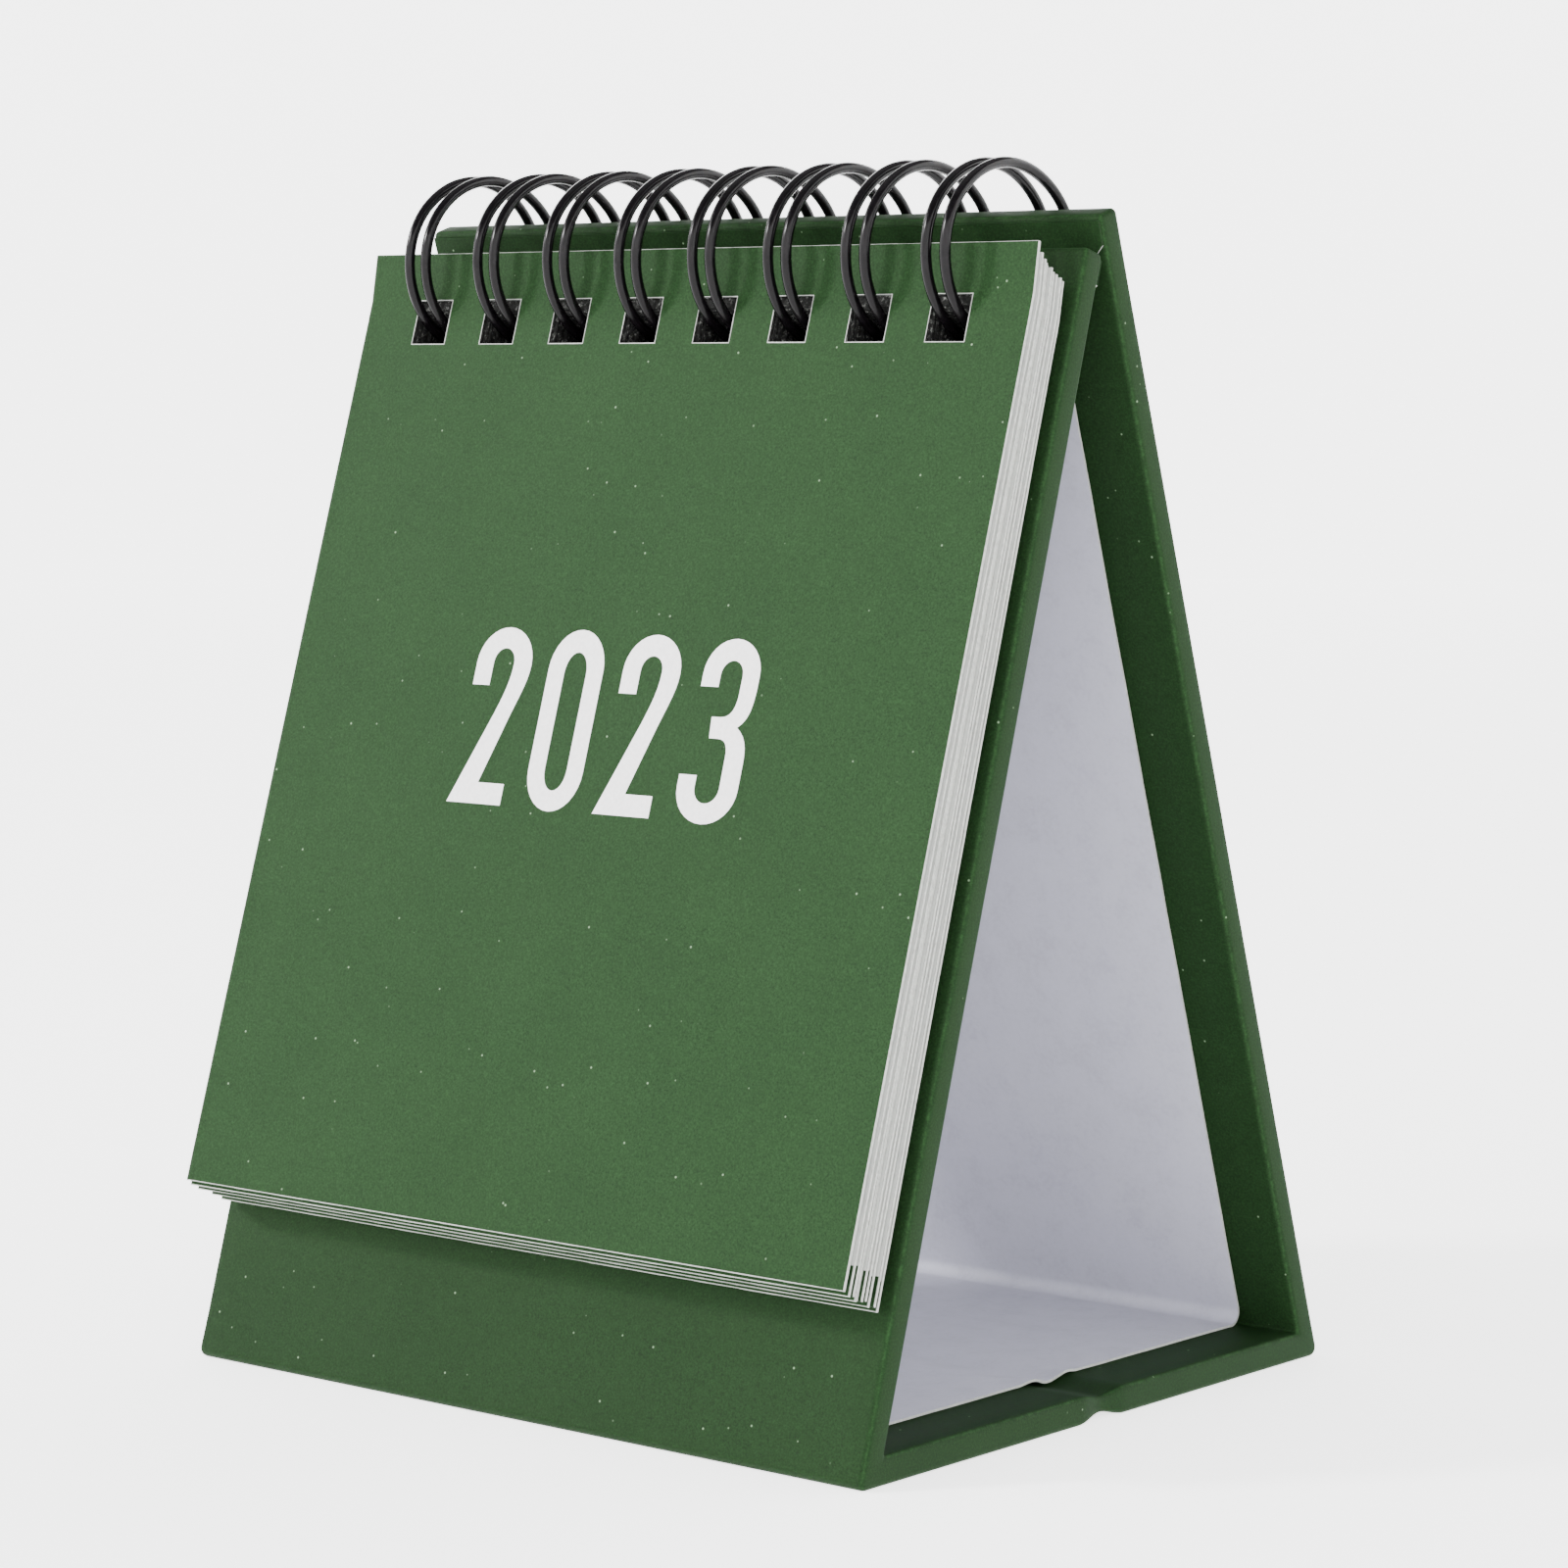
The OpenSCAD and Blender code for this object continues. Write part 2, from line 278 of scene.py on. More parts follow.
def printed_green(name, base, roughness):
    """Woodfree paper printed solid green under a matt film. The ink mottles at the size of the paper's
    fibre clumps and misses tiny pale pinholes; cracked ink and a painted highlight lighten the
    wrapped edges."""
    material, tree, shader, place = new_material(name)
    dark, mid, light = shades(base, 0.6, 1.0, 1.6)
    # fibre clumps of the paper, 0.2 mm across
    clumps = add_node(tree, "ShaderNodeTexNoise", inputs={
        "Vector": place, "Scale": per(0.2), "Detail": 3, "Roughness": 0.7})
    mottle = add_node(tree, "ShaderNodeValToRGB", inputs={0: clumps.outputs[0]},
                      stops=[(0.3, dark), (0.5, mid), (0.72, light)])
    # slow unevenness of the ink film, about 9 mm across
    film = add_node(tree, "ShaderNodeTexNoise", inputs={"Vector": place, "Scale": per(9), "Detail": 2})
    cloud = add_node(tree, "ShaderNodeValToRGB", inputs={0: film.outputs[0]},
                     stops=[(0.3, [0.95, 0.96, 0.95, 1]), (0.7, [1.04, 1.03, 1.02, 1])])
    tinted = add_node(tree, "ShaderNodeMix", {"data_type": "RGBA", "blend_type": "MULTIPLY"},
                      {0: 1.0, 6: mottle.outputs[0], 7: cloud.outputs[0]})
    # pinholes in the ink, about one every 1.7 mm, each some 0.12 mm across
    cells = add_node(tree, "ShaderNodeTexVoronoi", inputs={"Vector": place, "Scale": per(1.7)})
    holes = add_node(tree, "ShaderNodeValToRGB", inputs={0: cells.outputs["Distance"]},
                     stops=[(0.03, [1, 1, 1, 1]), (0.075, [0, 0, 0, 1])])
    rare = add_node(tree, "ShaderNodeValToRGB", inputs={0: cells.outputs["Color"]},
                    stops=[(0.5, [0, 0, 0, 1]), (0.62, [1, 1, 1, 1])])
    speck = add_node(tree, "ShaderNodeMath", {"operation": "MULTIPLY"},
                     {0: holes.outputs[0], 1: rare.outputs[0]})
    speckled = add_node(tree, "ShaderNodeMix", {"data_type": "RGBA"},
                        {0: speck.outputs[0], 6: tinted.outputs[2], 7: linear("#6C8266")})
    # ink cracked along the wrapped edges, in flecks 0.5 mm long, together with a painted highlight on their
    # rounding
    wear_and_edge_light = add_node(tree, "ShaderNodeAttribute", {"attribute_name": "wear_and_edge_light"})
    flecks = add_node(tree, "ShaderNodeTexNoise", inputs={
        "Vector": place, "Scale": per(0.5), "Detail": 5, "Roughness": 0.75})
    edge_lightening = add_node(tree, "ShaderNodeMath", {"operation": "MULTIPLY"},
                    {0: wear_and_edge_light.outputs["Fac"], 1: flecks.outputs[0]})
    cracks_and_edge_light = add_node(tree, "ShaderNodeValToRGB", inputs={0: edge_lightening.outputs[0]},
                       stops=[(0.38, [0, 0, 0, 1]), (0.62, [0.6, 0.6, 0.6, 1])])
    final = add_node(tree, "ShaderNodeMix", {"data_type": "RGBA"},
                     {0: cracks_and_edge_light.outputs[0], 6: speckled.outputs[2], 7: shades(base, 3)[0]})
    tree.links.new(final.outputs[2], shader.inputs["Base Color"])
    gloss = add_node(tree, "ShaderNodeMapRange", inputs={
        "Value": clumps.outputs[0], "To Min": roughness - 0.06, "To Max": roughness + 0.08})
    tree.links.new(gloss.outputs[0], shader.inputs["Roughness"])
    bump = add_node(tree, "ShaderNodeBump", inputs={
        "Strength": 0.35, "Distance": 0.03 * MM, "Height": clumps.outputs[0]})
    tree.links.new(bump.outputs[0], shader.inputs["Normal"])
    shader.inputs["Specular IOR Level"].default_value = 0.05
    return material


def white_paper(name, base, roughness, fleck_mm):
    """Uncoated or machine-finished white paper: faint fibre clouds and a soft tooth, with no shine."""
    material, tree, shader, place = new_material(name)
    shade, mid, light = shades(base, 0.9, 1.0, 1.05)
    # cloudy formation of the sheet, about 3 mm across, and its fibre flecks
    cloud = add_node(tree, "ShaderNodeTexNoise", inputs={"Vector": place, "Scale": per(3), "Detail": 4})
    fleck = add_node(tree, "ShaderNodeTexNoise", inputs={
        "Vector": place, "Scale": per(fleck_mm), "Detail": 4, "Roughness": 0.65})
    both = add_node(tree, "ShaderNodeMath", {"operation": "ADD"},
                    {0: cloud.outputs[0], 1: fleck.outputs[0]})
    half = add_node(tree, "ShaderNodeMath", {"operation": "MULTIPLY"}, {0: both.outputs[0], 1: 0.5})
    tint = add_node(tree, "ShaderNodeValToRGB", inputs={0: half.outputs[0]},
                    stops=[(0.35, shade), (0.5, mid), (0.65, light)])
    tree.links.new(tint.outputs[0], shader.inputs["Base Color"])
    gloss = add_node(tree, "ShaderNodeMapRange", inputs={
        "Value": fleck.outputs[0], "To Min": roughness - 0.05, "To Max": roughness + 0.05})
    tree.links.new(gloss.outputs[0], shader.inputs["Roughness"])
    bump = add_node(tree, "ShaderNodeBump", inputs={
        "Strength": 0.3, "Distance": 0.02 * MM, "Height": fleck.outputs[0]})
    tree.links.new(bump.outputs[0], shader.inputs["Normal"])
    return material


def fibrous(name, stops, grain, relief, roughness, specular=0.5, drawn=1):
    """A matt material coloured and embossed by one grain. grain holds the noise's settings, relief
    the bump's strength and depth in mm, and drawn how far the grain is stretched upward."""
    material, tree, shader, place = new_material(name)
    if drawn != 1:
        place = add_node(tree, "ShaderNodeMapping", inputs={
            "Vector": place, "Scale": (1, 1, 1 / drawn)}).outputs[0]
    fibre = add_node(tree, "ShaderNodeTexNoise", inputs={"Vector": place, **grain})
    tint = add_node(tree, "ShaderNodeValToRGB", inputs={0: fibre.outputs[0]}, stops=stops)
    tree.links.new(tint.outputs[0], shader.inputs["Base Color"])
    bump = add_node(tree, "ShaderNodeBump", inputs={
        "Strength": relief[0], "Distance": relief[1] * MM, "Height": fibre.outputs[0]})
    tree.links.new(bump.outputs[0], shader.inputs["Normal"])
    shader.inputs["Roughness"].default_value = roughness
    shader.inputs["Specular IOR Level"].default_value = specular
    return material


def cut_card():
    """The guillotined edge of card: a rough, slightly grey line of torn fibre bundles, each 0.15 mm
    across and drawn out three times as long up the edge."""
    dark, mid, light = shades(colours().card_edge, 0.62, 0.95, 1.2)
    return fibrous("guillotined_card_edge", [(0.3, dark), (0.5, mid), (0.7, light)],
                   {"Scale": per(0.15), "Detail": 4, "Roughness": 0.7}, (0.5, 0.04), 0.85,
                   drawn=1 / 0.35)


def rubbed_edge():
    """The walls of the punched holes: card edges coloured near black as painted shade for the deep shade
    inside the holes, with a pale torn fibre every 0.45 mm or so."""
    black, dim_shade, pale = shades(colours().card_edge, 0.012, 0.05, 0.8)
    return fibrous("painted_shade_hole_edge", [(0.4, black), (0.56, dim_shade), (0.7, pale)],
                   {"Scale": per(0.45), "Detail": 6, "Roughness": 0.8}, (0.6, 0.05), 0.9, specular=0.14)


def pulp_board():
    """Greyboard pressed from waste paper: grey-brown and matt, with dark and pale fibres 0.6 mm long."""
    dark, mid, light = shades(colours().greyboard, 0.55, 1.0, 1.35)
    return fibrous("pressed_greyboard", [(0.32, dark), (0.5, mid), (0.7, light)],
                   {"Scale": per(0.6), "Detail": 8, "Roughness": 0.8, "Distortion": 1.2},
                   (0.6, 0.08), 0.9)


def printed_ink(name, base, roughness):
    """A film of offset ink on card: solid colour, with the card's tooth of 0.35 mm just showing."""
    low, high = shades(base, 0.93, 1.03)
    return fibrous(name, [(0.35, low), (0.65, high)], {"Scale": per(0.35), "Detail": 3},
                   (0.2, 0.02), roughness)


def nylon_wire():
    """Steel wire dipped in black nylon: a smooth glossy skin, with faint ripples that break up its
    highlights."""
    material, tree, shader, place = new_material("nylon_coated_wire")
    # the dipped coat pools in ripples about 0.8 mm apart
    ripple = add_node(tree, "ShaderNodeTexNoise", inputs={"Vector": place, "Scale": per(0.8), "Detail": 3})
    tint = add_node(tree, "ShaderNodeValToRGB", inputs={0: ripple.outputs[0]},
                    stops=[(0.35, colours().wire), (0.75, shades(colours().wire, 2.2)[0])])
    tree.links.new(tint.outputs[0], shader.inputs["Base Color"])
    gloss = add_node(tree, "ShaderNodeMapRange", inputs={
        "Value": ripple.outputs[0], "To Min": 0.12, "To Max": 0.24})
    tree.links.new(gloss.outputs[0], shader.inputs["Roughness"])
    bump = add_node(tree, "ShaderNodeBump", inputs={
        "Strength": 0.3, "Distance": 0.03 * MM, "Height": ripple.outputs[0]})
    tree.links.new(bump.outputs[0], shader.inputs["Normal"])
    shader.inputs["Specular IOR Level"].default_value = 0.14
    return material


def studio_floor():
    """A sheet of matt white backdrop paper."""
    material, tree, shader, place = new_material("matt_backdrop_paper")
    # a barely visible 20 mm cloudiness
    cloud = add_node(tree, "ShaderNodeTexNoise", inputs={"Vector": place, "Scale": per(20), "Detail": 2})
    low, high = shades(colours().floor, 0.985, 1.0)
    tint = add_node(tree, "ShaderNodeValToRGB", inputs={0: cloud.outputs[0]},
                    stops=[(0.3, low), (0.7, high)])
    tree.links.new(tint.outputs[0], shader.inputs["Base Color"])
    shader.inputs["Roughness"].default_value = 0.9
    # light let through from behind the sheet
    shader.inputs["Emission Color"].default_value = (1, 1, 1, 1)
    shader.inputs["Emission Strength"].default_value = 2.2
    return material


FINISHES = {}


def finish(name, make, *values):
    """A material by its key, made once."""
    if name not in FINISHES:
        FINISHES[name] = make(*values)
    return FINISHES[name]


def board_paper():
    return finish("board", printed_green, "matt_film_cover_paper", colours().board_green, 0.6)


def leaf_paper():
    return finish("leaf", printed_green, "matt_film_printed_card", colours().leaf_green, 0.6)


def white_card():
    return finish("card", white_paper, "uncoated_leaf_card", colours().card, 0.66, 0.4)


def card_edge():
    return finish("edge", cut_card)


# the near-black painted shade of the punched holes' walls and of the rims round the inner leaves' holes
def hole_edge():
    return finish("hole_shade", rubbed_edge)


# ---------------------------------------------------------------- mesh tools

# the faces of a block whose first four corners go round one end and last four round the other
BLOCK = [(0, 3, 2, 1), (4, 5, 6, 7), (0, 1, 5, 4), (1, 2, 6, 5), (2, 3, 7, 6), (3, 0, 4, 7)]


def new_piece(name, vertices, faces, materials, indices=None):
    """A mesh object in the row frame."""
    mesh = bpy.data.meshes.new(name)
    mesh.from_pydata([tuple(v) for v in vertices], [], faces)
    for material in materials:
        mesh.materials.append(material)
    if indices:
        mesh.polygons.foreach_set("material_index", indices)
    piece = bpy.data.objects.new(name, mesh)
    bpy.context.scene.collection.objects.link(piece)
    return piece


def tidy_mesh(piece, merge=0.005 * MM):
    """Merges doubled points and turns every face outward."""
    mesh = bmesh.new()
    mesh.from_mesh(piece.data)
    bmesh.ops.remove_doubles(mesh, verts=mesh.verts, dist=merge)
    bmesh.ops.dissolve_degenerate(mesh, edges=mesh.edges, dist=merge / 10)
    bmesh.ops.recalc_face_normals(mesh, faces=mesh.faces)
    mesh.to_mesh(piece.data)
    mesh.free()


def smooth(piece, degrees):
    """Smooth shading that keeps edges sharper than the angle."""
    piece.data.shade_smooth()
    piece.data.set_sharp_from_angle(angle=math.radians(degrees))


def add_modifier(piece, kind, **settings):
    """Adds one modifier with its settings."""
    modifier = piece.modifiers.new(kind.lower(), kind)
    for name, value in settings.items():
        setattr(modifier, name, value)


def apply_modifiers(piece):
    """Turns the piece, modifiers included, into a plain mesh."""
    graph = bpy.context.evaluated_depsgraph_get()
    shown = piece.evaluated_get(graph)
    mesh = bpy.data.meshes.new_from_object(shown, preserve_all_data_layers=True, depsgraph=graph)
    piece.modifiers.clear()
    piece.data = mesh


def hole_places():
    """The x of every loop and of every punched hole."""
    low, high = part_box("binding_wire")
    # each outer wire bends out by half the twin gap and ends in a thicker root
    thicker = 0.09 * MM
    pitch = (high.x - low.x - 2 * sizes().twin_gap - sizes().wire - thicker) / (LOOPS - 1)
    return [(i - (LOOPS - 1) / 2) * pitch for i in range(LOOPS)]


def punch(piece, half):
    """Punches the row of square holes through a piece of a panel."""
    side = sizes().hole / 2
    middle = half.length - half.hole_drop()
    reach = 2 * half.thickness
    vertices, faces = [], []
    for x in hole_places():
        first = len(vertices)
        for depth in (-reach, half.thickness + reach):
            for dx, dz in ((-side, -side), (side, -side), (side, side), (-side, side)):
                vertices.append(half.point(("panel", middle + dz), x + dx, depth, 0))
        faces += [tuple(first + i for i in face) for face in BLOCK]
    # the cutter carries the near-black painted shade material of the hole walls
    cutter = new_piece("cutter", vertices, faces, [hole_edge()])
    tidy_mesh(cutter)
    add_modifier(piece, "BOOLEAN", object=cutter, operation="DIFFERENCE", solver="EXACT")
    apply_modifiers(piece)
    bpy.data.objects.remove(cutter)


def spaced(start, end, step):
    """Evenly spaced values from start to end, about a step apart."""
    count = max(1, round(abs(end - start) / step))
    return [start + (end - start) * i / count for i in range(count + 1)]


def ease(value):
    """A smooth step from 0 to 1."""
    value = min(1, max(0, value))
    return value * value * (3 - 2 * value)


def uneven(point, grain_mm, seed=0):
    """A smooth random value from -1 to 1 that changes over about grain_mm."""
    return noise.noise(Vector(point) / (grain_mm * MM) + Vector((seed * 7.3, seed * 3.1, seed * 5.7)))


# ---------------------------------------------------------------- the easel

def arc(centre_x, centre_y, radius, start, end, steps):
    """Points on an arc, angles in degrees."""
    angles = [math.radians(start + (end - start) * i / steps) for i in range(steps + 1)]
    return [(centre_x + radius * math.cos(a), centre_y + radius * math.sin(a)) for a in angles]


def wrapped_section(columns, half_width, thickness, radius, inset):
    """The closed outline (x, depth, wear and painted edge light) of a wrapped board: outer face, right
    edge, inner face and left edge."""
    steps, inner = 4, max(radius - inset, 0)
    side, deep = half_width - radius, thickness - radius
    bend = [math.sin(math.pi * i / steps) for i in range(steps + 1)]
    outline = [(x, inset, 0) for x in columns]
    right = arc(side, radius, inner, -90, 0, steps)[1:] + arc(side, deep, inner, 0, 90, steps)[:-1]
    left = arc(-side, deep, inner, 90, 180, steps)[1:] + arc(-side, radius, inner, 180, 270, steps)[:-1]
    edge_lightening = bend[1:] + bend[:-1]
    outline += [(x, depth, w) for (x, depth), w in zip(right, edge_lightening)]
    outline += [(x, thickness - inset, 0) for x in reversed(columns)]
    outline += [(x, depth, w) for (x, depth), w in zip(left, edge_lightening)]
    return outline


def wrap_paper(half):
    """The cover paper of one half as one sheet: round the board's edges, over its top, across the fold
    and along the base, with turned-in margins and a window that the liner fills."""
    s = sizes()
    width, edge = WIDTH / 2, s.edge
    window = width - s.side_turn
    columns = spaced(edge - width, -window, 2.5 * MM)[:-1] + spaced(-window, window, 3 * MM)
    columns += spaced(window, width - edge, 2.5 * MM)[1:]
    top, turned_to, gap_side = half.length, half.length - s.top_turn, half.reach - 3.5 * MM
    stations = [(("panel", top - edge + edge * math.sin(a)), edge * (1 - math.cos(a)))
                for a in (math.pi / 2, math.pi / 3, math.pi / 6, 0)]
    panel = spaced(top - edge, turned_to, 2 * MM)[1:] + spaced(turned_to, 4 * MM, 3 * MM)[1:]
    stations += [(("panel", v), 0) for v in panel]
    stations += [(("bend", i / 8), 0) for i in range(9)]
    base = spaced(4 * MM, gap_side, 3 * MM) + spaced(gap_side, half.reach, 0.35 * MM)[1:]
    stations += [(("base", v), 0) for v in base]

    # how far the paper sinks into the gap between the base boards, and how unevenly it is glued
    from_below, from_above, from_side, waviness = 0.55 * MM, 0.5 * MM, 0.35 * MM, 0.035 * MM
    vertices, wear_and_edge_light = [], []
    for station, inset in stations:
        pinch = ease(1 - (half.reach - station[1]) / (3.2 * MM)) if station[0] == "base" else 0
        for x, depth, edge_lightening in wrapped_section(columns, width, half.thickness, edge, inset):
            point = half.point(station, x, depth, s.fold)
            beside, through = ease((abs(x) - window) / (width - window)), depth / half.thickness
            point.z += pinch * (from_below * (1 - through) - from_above * through)
            point.x -= math.copysign(from_side * pinch * beside, x)
            if station[0] == "panel":
                sink = waviness * (1 + uneven(point, 11)) * (1 if through < 0.5 else -1)
                point.y += half.inward.x * sink
                point.z += half.inward.y * sink
            vertices.append(point)
            # the rounded edges carry cracked ink and a painted highlight
            wear_and_edge_light.append(max(edge_lightening, math.sin(math.pi * inset / edge) if inset < edge else 0))

    count, across = len(vertices) // len(stations), len(columns)
    inner_start = across + 8  # after the eight points of the right edge
    faces = []
    for row in range(len(stations) - 1):
        below_top = stations[row][0][0] != "panel" or stations[row][0][1] <= turned_to + 1e-7
        for i in range(count):
            if below_top and inner_start <= i < inner_start + across - 1:
                first = columns[across - 1 - (i - inner_start)]
                second = columns[across - 2 - (i - inner_start)]
                if abs(first) <= window + 1e-7 and abs(second) <= window + 1e-7:
                    continue
            a, b = row * count + i, row * count + (i + 1) % count
            faces.append((a, b, b + count, a + count))
    for i in range(across - 1):
        faces.append((i + 1, i, inner_start + across - 1 - i, inner_start + across - 2 - i))

    piece = new_piece(f"{half.end}_wrap", vertices, faces, [board_paper(), card_edge()])
    attribute = piece.data.attributes.new("wear_and_edge_light", "FLOAT", "POINT")
    attribute.data.foreach_set("value", wear_and_edge_light)
    tidy_mesh(piece)
    add_modifier(piece, "SOLIDIFY", thickness=s.paper, offset=-1, material_offset_rim=1)
    apply_modifiers(piece)
    return piece


def top_flap(half):
    """The top turn-in as the visible flap inside a panel, with its mitred ends' cut edges."""
    s = sizes()
    top, lift, sunk = half.length - s.edge, 0.14 * MM, 0.05 * MM
    wide = WIDTH / 2 - s.flap_step
    straight = half.length - 2.6 * MM  # the mitre runs from here
    foot = half.length - s.top_turn
    outline = [(-wide, top), (wide, top), (wide, straight), (wide - (straight - foot), foot),
               (-wide + (straight - foot), foot), (-wide, straight)]
    count = len(outline)
    vertices = [half.point(("panel", v), x, half.thickness + depth, 0)
                for depth in (-sunk, lift) for x, v in outline]
    faces = [tuple(range(count)), tuple(range(2 * count - 1, count - 1, -1))]
    faces += [(i, (i + 1) % count, count + (i + 1) % count, count + i) for i in range(count)]
    indices = [0, 0] + [0, 0, 1, 1, 1, 0]
    piece = new_piece(f"{half.end}_top_flap", vertices, faces, [board_paper(), card_edge()], indices)
    tidy_mesh(piece)
    return piece


def board_core(name, half, stations):
    """A greyboard core with softly crushed edges, between two stations."""
    s = sizes()
    low, high = stations
    width, crush = WIDTH / 2 - s.paper, 0.08 * MM
    vertices = []
    for depth in (s.paper, half.thickness - s.paper):
        for x, station in ((-width, low), (width, low), (width, high), (-width, high)):
            vertices.append(half.point(station, x, depth, 0))
    core = new_piece(name, vertices, BLOCK, [finish("board_core", pulp_board), card_edge()])
    tidy_mesh(core)
    add_modifier(core, "BEVEL", width=s.edge - s.paper + crush, segments=3, limit_method="NONE")
    apply_modifiers(core)
    return core


def liner_sheet(half):
    """The white liner of one half: down the panel, in a round sweep over the fold and along the base.
    At the middle fold its edge puckers, and its cut edges stand a hair off the turned-in paper."""
    s = sizes()
    width = WIDTH / 2 - s.liner_side
    gap, wave = 0.04 * MM, 0.05 * MM
    dip, kink, draw_in, edge_run, dip_run = 0.42 * MM, 0.4 * MM, 0.3 * MM, 4 * MM, 4 * MM
    kink_place, kink_run = 2.2 * MM, 2 * MM
    bend = half.thickness + s.liner_fold
    start = bend / math.tan(half.half_angle) + 0.3 * MM
    columns = spaced(-width, width, 1.6 * MM)
    stations = [("panel", v) for v in spaced(half.length - s.liner_top, start, 3 * MM)]
    stations += [("bend", i / 14) for i in range(15)]
    stations += [("base", v) for v in spaced(start, half.reach - 5 * MM, 3 * MM)]
    stations += [("base", v) for v in spaced(half.reach - 5 * MM, half.reach, 0.5 * MM)[1:]]
    vertices = []
    for station in stations:
        for x in columns:
            point = half.point(station, x, half.thickness + gap, bend)
            edge = ease((abs(x) - width + edge_run) / edge_run)
            lift = wave * (uneven(point, 9, 1) + edge * (1 + uneven(point, 4, 2)))
            if station[0] == "base":
                from_gap = half.reach - station[1]
                near = ease(1 - from_gap / dip_run)
                # the sheet dips into the middle gap and kinks up at its two edges
                lift -= dip * near * (1 - edge)
                pucker = ease(1 - abs(from_gap - kink_place) / kink_run)
                lift += kink * pucker * edge - draw_in * near * edge
                point.x += math.copysign(draw_in * edge * pucker, x)
                point.z += lift
            else:
                point.y += half.inward.x * lift
                point.z += half.inward.y * lift
            vertices.append(point)
    across = len(columns)
    faces = [(r * across + i, r * across + i + 1, (r + 1) * across + i + 1, (r + 1) * across + i)
             for r in range(len(stations) - 1) for i in range(across - 1)]
    paper = finish("liner", white_paper, "machine_finished_liner_paper", colours().liner, 0.62, 0.5)
    piece = new_piece(f"{half.end}_liner_sheet", vertices, faces, [paper, card_edge()])
    tidy_mesh(piece)
    # the sheet thickens towards the inside of the stand
    middle = piece.data.polygons[len(piece.data.polygons) // 4]
    inside = Vector((0, half.inward.x, half.inward.y))
    add_modifier(piece, "SOLIDIFY", thickness=s.paper - gap, material_offset_rim=1,
                 offset=1 if middle.normal.dot(inside) > 0 else -1)
    apply_modifiers(piece)
    return piece


# ---------------------------------------------------------------- the wire

def loop_path():
    """One wire of a loop in its own plane as (depth, height) from the root at the seam round to the tip."""
    s = sizes()
    low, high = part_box("binding_wire")
    a, b = (high.y - low.y - s.wire) / 2, (high.z - low.z - s.wire) / 2
    side = s.loop_side
    crown = ((a - side) ** 2 + b ** 2 - side ** 2) / (2 * (b - side))
    join = math.degrees(math.atan2(crown - b, a - side))
    # the seam is low at the rear: degrees from the loop's rearmost point, over its top and front
    seam, clearance = 286, 0.2 * MM
    reach = math.degrees((s.twin_gap + s.wire + clearance) / 2 / crown)
    root, tip = seam + reach, seam - reach
    path = arc(0, crown - b, crown, root, 360 - join, 8)[:-1]
    path += arc(a - side, 0, side, -join, join, 18)[:-1]
    path += arc(0, b - crown, crown, join, 180 - join, 20)[:-1]
    path += arc(side - a, 0, side, 180 - join, 180 + join, 18)[:-1]
    path += arc(0, crown - b, crown, 180 + join, tip, 16)
    return path, a


def binding_wire():
    """One continuous wire: up the first wire of each loop, round its closed tip, back down the second,
    and along the spine to the next loop."""
    s = sizes()
    path, depth = loop_path()
    towards_root = (Vector(path[0]) - Vector(path[1])).normalized()
    towards_tip = (Vector(path[-1]) - Vector(path[-2])).normalized()
    bend = s.twin_gap / 2
    quarter = [math.radians(90 * i / 6) for i in range(7)]
    points = []
    lean = 0.12 * MM
    for number, x in enumerate(hole_places()):
        tilt = lean * math.sin(2.4 * number + 1)  # each loop leans its own way

        def wire_at(index, side):
            y, z = path[index]
            gap = bend + s.twin_spread / 2 * ease(y / depth)
            return Vector((x + side * gap + tilt * z / depth, y, z))

        def spine_bend(side):
            """The quarter turn from a wire's root out to the spine."""
            spots = []
            for angle in quarter:
                out = bend * (1 - math.cos(angle))
                on = bend * math.sin(angle)
                y, z = Vector(path[0]) + towards_root * on
                spots.append(Vector((x + side * (bend + out), y, z)))
            return spots

        points += list(reversed(spine_bend(-1)))[:-1]
        points += [wire_at(i, -1) for i in range(len(path))]
        for step in range(1, 12):
            angle = math.pi * step / 12
            y, z = Vector(path[-1]) + towards_tip * bend * math.sin(angle)
            points.append(Vector((x - bend * math.cos(angle), y, z)))
        points += [wire_at(i, 1) for i in reversed(range(len(path)))]
        points += spine_bend(1)[1:]
    curve = bpy.data.curves.new("wire_path", "CURVE")
    curve.dimensions = "3D"
    curve.bevel_depth, curve.bevel_resolution, curve.use_fill_caps = s.wire / 2, 3, True
    spline = curve.splines.new("POLY")
    spline.points.add(len(points) - 1)
    centre = Vector((0, LOOP_CENTRE.x, LOOP_CENTRE.y))
    for spot, point in zip(spline.points, points):
        spot.co = (*(point + centre), 1)
    piece = bpy.data.objects.new("twin_loop_wire", curve)
    bpy.context.scene.collection.objects.link(piece)
    piece = as_mesh(piece)
    piece.data.materials.clear()
    piece.data.materials.append(finish("wire", nylon_wire))
    smooth(piece, 60)
    return piece


def as_mesh(shape):
    """A curve or text object as a mesh object of the same name."""
    graph = bpy.context.evaluated_depsgraph_get()
    mesh = bpy.data.meshes.new_from_object(shape.evaluated_get(graph))
    name = shape.name
    piece = bpy.data.objects.new(name + "_mesh", mesh)
    piece.matrix_world = shape.matrix_world
    bpy.data.objects.remove(shape)
    piece.name = name
    bpy.context.scene.collection.objects.link(piece)
    return piece


# ---------------------------------------------------------------- the leaves

# the block has settled in packets with thin air between them, each hanging a little lower
PACKETS = [0, 1, 4, 9, 13]  # the leaf at the front of each packet
PACKET_FEET = [0, 0.33, 0.57, 0.8, 1.04]  # mm from the cover's foot down to each packet's
PACKET_AIR = [0.76, 0.56, 0.38, 0.2, 0]  # mm of air between each packet and the last leaf
LEAF_PITCH = 0.235 * MM  # from one leaf to the next inside a packet
LEAF_RISE = 0.045 * MM  # by which each leaf inside a packet ends above the one before it
FAN = 0.9 * MM  # how far the cover's foot leans out of the block


